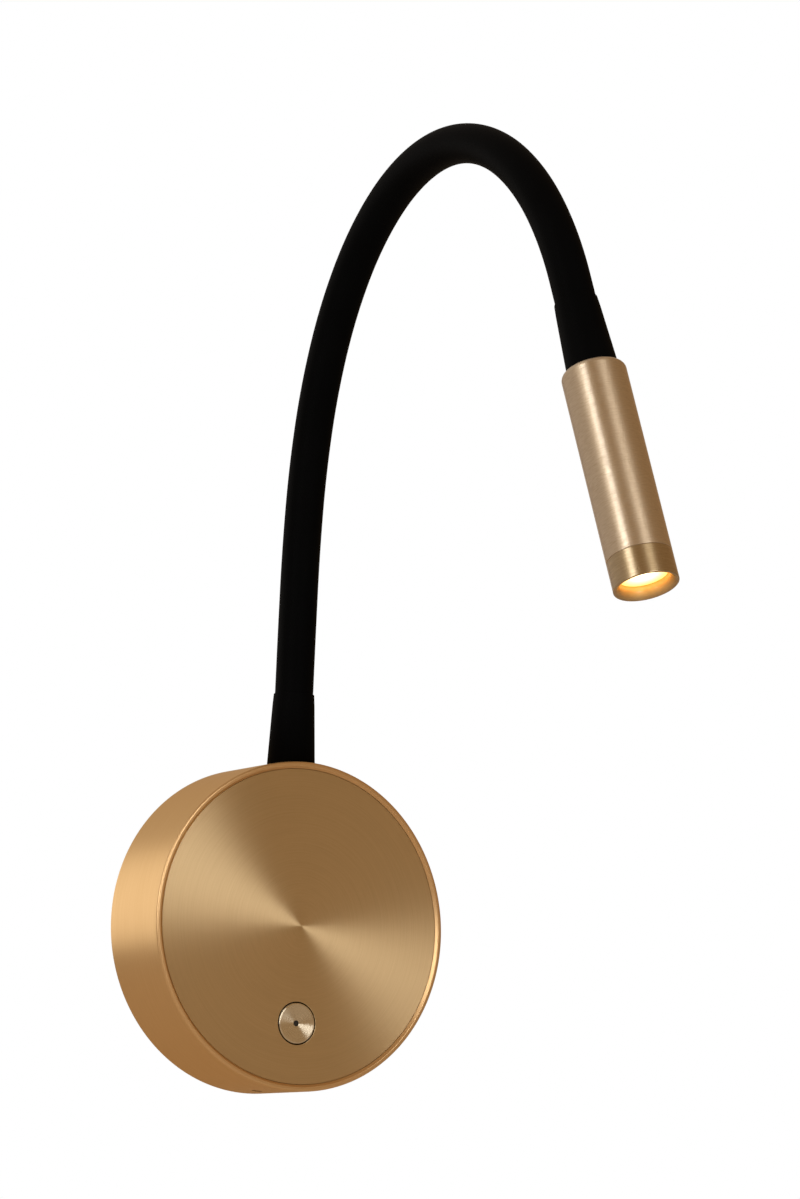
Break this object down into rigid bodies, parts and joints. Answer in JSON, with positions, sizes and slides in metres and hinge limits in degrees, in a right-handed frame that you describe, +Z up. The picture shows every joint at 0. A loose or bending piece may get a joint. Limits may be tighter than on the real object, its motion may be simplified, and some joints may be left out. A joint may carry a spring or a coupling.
{
  "type": "wall spotlight",
  "caption": "Wall spotlight: round brass base with a push button, a black sleeved gooseneck that stays as it is bent, and a slim brass lamp head with a recessed lens.",
  "frame": {"origin": "centre of the base's back face, on the wall", "axes": "+Z up, +Y into the wall, so the lamp faces -Y, +X to the right as seen from the room"},
  "size_m": [0.1, 0.2065, 0.2838],
  "materials": {
    "satin_brass": "satin brushed and lacquered",
    "brushed_brass": "brushed in circles and lacquered",
    "turned_brass": "turned, fine satin, lacquered",
    "fine_turned_brass": "finely turned and lacquered",
    "champagne_metal": "turned and plated, satin",
    "raw_brass": "machined",
    "zinc_steel": "zinc plated",
    "black_steel": "black oxide",
    "core_steel": "wound wire, oiled",
    "aluminium": "machined",
    "reflector_mirror": "vacuum metallised",
    "black_rubber": "matte moulded",
    "black_plastic": "moulded, fine grain",
    "white_plastic": "moulded",
    "circuit_board": "solder resist",
    "wire_jacket": "extruded, smooth",
    "led_phosphor": "phosphor coated",
    "lens_glass": "clear, lightly frosted"
  },
  "bodies": {
    "base": {"wall_plate": "zinc_steel", "base_shell": "satin_brass", "face_disc": "brushed_brass", "shell_set_screw": "black_steel", "push_switch": "black_plastic", "switch_board": "circuit_board", "board_spacers": "raw_brass", "board_screws": "zinc_steel", "led_driver": "black_plastic", "terminal_block": "white_plastic", "terminal_screws": "zinc_steel", "supply_wires": "wire_jacket", "switch_wires": "wire_jacket", "cable_grommet": "black_rubber", "earth_screw": "raw_brass", "lower_ferrule": "raw_brass", "lock_washer": "zinc_steel", "ferrule_nut": "raw_brass", "lower_boot": "black_rubber", "neck_core_00": "core_steel", "neck_sleeve_00": "black_rubber", "lamp_lead": "wire_jacket"},
    "button": {"button_cap": "champagne_metal", "button_dot": "black_plastic", "switch_plunger": "white_plastic"},
    "neck_01": {"neck_core_01": "core_steel", "neck_sleeve_01": "black_rubber"},
    "neck_02": {"neck_core_02": "core_steel", "neck_sleeve_02": "black_rubber"},
    "neck_03": {"neck_core_03": "core_steel", "neck_sleeve_03": "black_rubber"},
    "neck_04": {"neck_core_04": "core_steel", "neck_sleeve_04": "black_rubber"},
    "neck_05": {"neck_core_05": "core_steel", "neck_sleeve_05": "black_rubber"},
    "neck_06": {"neck_core_06": "core_steel", "neck_sleeve_06": "black_rubber"},
    "neck_07": {"neck_core_07": "core_steel", "neck_sleeve_07": "black_rubber"},
    "neck_08": {"neck_core_08": "core_steel", "neck_sleeve_08": "black_rubber"},
    "neck_09": {"neck_core_09": "core_steel", "neck_sleeve_09": "black_rubber"},
    "neck_10": {"neck_core_10": "core_steel", "neck_sleeve_10": "black_rubber"},
    "neck_11": {"neck_core_11": "core_steel", "neck_sleeve_11": "black_rubber"},
    "head": {"neck_core_12": "core_steel", "neck_sleeve_12": "black_rubber", "upper_ferrule": "raw_brass", "upper_boot": "black_rubber", "head_body": "turned_brass", "heat_sink": "aluminium", "led_board": "aluminium", "led_chip": "led_phosphor", "reflector": "reflector_mirror", "lens": "lens_glass", "bezel_ring": "fine_turned_brass"}
  },
  "joints": [
    {"name": "button_press", "type": "slide", "parent": "base", "child": "button", "axis": [0, 1, 0], "range_m": [0, 0.0012], "stiffness_N_per_m": 900, "springref_m": -0.0015},
    {"name": "neck_bend_01", "type": "hinge", "parent": "base", "child": "neck_01", "pos_m": [0, -0.018, 0.08], "axis": [0.9991, -0.0419, 0], "range_deg": [-0.7, 14], "deforming": ["neck_sleeve_00", "neck_sleeve_01", "lamp_lead"]},
    {"name": "neck_sway_02", "type": "hinge", "parent": "neck_01", "child": "neck_02", "pos_m": [-0.00001, -0.01816, 0.10545], "axis": [0.0419, 0.999, 0.0127], "range_deg": [-15, 15], "deforming": ["neck_sleeve_01", "neck_sleeve_02", "lamp_lead"]},
    {"name": "neck_bend_03", "type": "hinge", "parent": "neck_02", "child": "neck_03", "pos_m": [-0.00006, -0.01941, 0.13087], "axis": [0.9991, -0.0419, 0], "range_deg": [-12, 12], "deforming": ["neck_sleeve_02", "neck_sleeve_03", "lamp_lead"]},
    {"name": "neck_sway_04", "type": "hinge", "parent": "neck_03", "child": "neck_04", "pos_m": [-0.00022, -0.0233, 0.15601], "axis": [0.0408, 0.9745, 0.2206], "range_deg": [-15, 15], "deforming": ["neck_sleeve_03", "neck_sleeve_04", "lamp_lead"]},
    {"name": "neck_bend_05", "type": "hinge", "parent": "neck_04", "child": "neck_05", "pos_m": [-0.00056, -0.03137, 0.1801], "axis": [0.9991, -0.0419, 0], "range_deg": [-26.8, 8], "deforming": ["neck_sleeve_04", "neck_sleeve_05", "lamp_lead"]},
    {"name": "neck_sway_06", "type": "hinge", "parent": "neck_05", "child": "neck_06", "pos_m": [-0.00112, -0.04477, 0.20164], "axis": [0.0323, 0.7705, 0.6367], "range_deg": [-15, 15], "deforming": ["neck_sleeve_05", "neck_sleeve_06", "lamp_lead"]},
    {"name": "neck_bend_07", "type": "hinge", "parent": "neck_06", "child": "neck_07", "pos_m": [-0.00192, -0.06389, 0.21826], "axis": [0.9991, -0.0419, 0], "range_deg": [-41.3, 6], "deforming": ["neck_sleeve_06", "neck_sleeve_07", "lamp_lead"]},
    {"name": "neck_sway_08", "type": "hinge", "parent": "neck_07", "child": "neck_08", "pos_m": [-0.00289, -0.08758, 0.22705], "axis": [0.0066, 0.1585, 0.9873], "range_deg": [-15, 15], "deforming": ["neck_sleeve_07", "neck_sleeve_08", "lamp_lead"]},
    {"name": "neck_bend_09", "type": "hinge", "parent": "neck_08", "child": "neck_09", "pos_m": [-0.00367, -0.11284, 0.22605], "axis": [0.9997, -0.0223, 0.0048], "range_deg": [-44.3, 4], "deforming": ["neck_sleeve_08", "neck_sleeve_09", "lamp_lead"]},
    {"name": "neck_sway_10", "type": "hinge", "parent": "neck_09", "child": "neck_10", "pos_m": [-0.00374, -0.13589, 0.21562], "axis": [-0.0241, -0.5747, 0.818], "range_deg": [-15, 15], "deforming": ["neck_sleeve_09", "neck_sleeve_10", "lamp_lead"]},
    {"name": "neck_bend_11", "type": "hinge", "parent": "neck_10", "child": "neck_11", "pos_m": [-0.0029, -0.1539, 0.19782], "axis": [0.9981, 0.0021, 0.0614], "range_deg": [-35.7, 6], "deforming": ["neck_sleeve_10", "neck_sleeve_11", "lamp_lead"]},
    {"name": "neck_sway_12", "type": "hinge", "parent": "neck_11", "child": "head", "pos_m": [-0.0013, -0.1656, 0.17537], "axis": [-0.0395, -0.9436, 0.3288], "range_deg": [-15, 15], "deforming": ["neck_sleeve_11", "neck_sleeve_12", "lamp_lead"]}
  ]
}
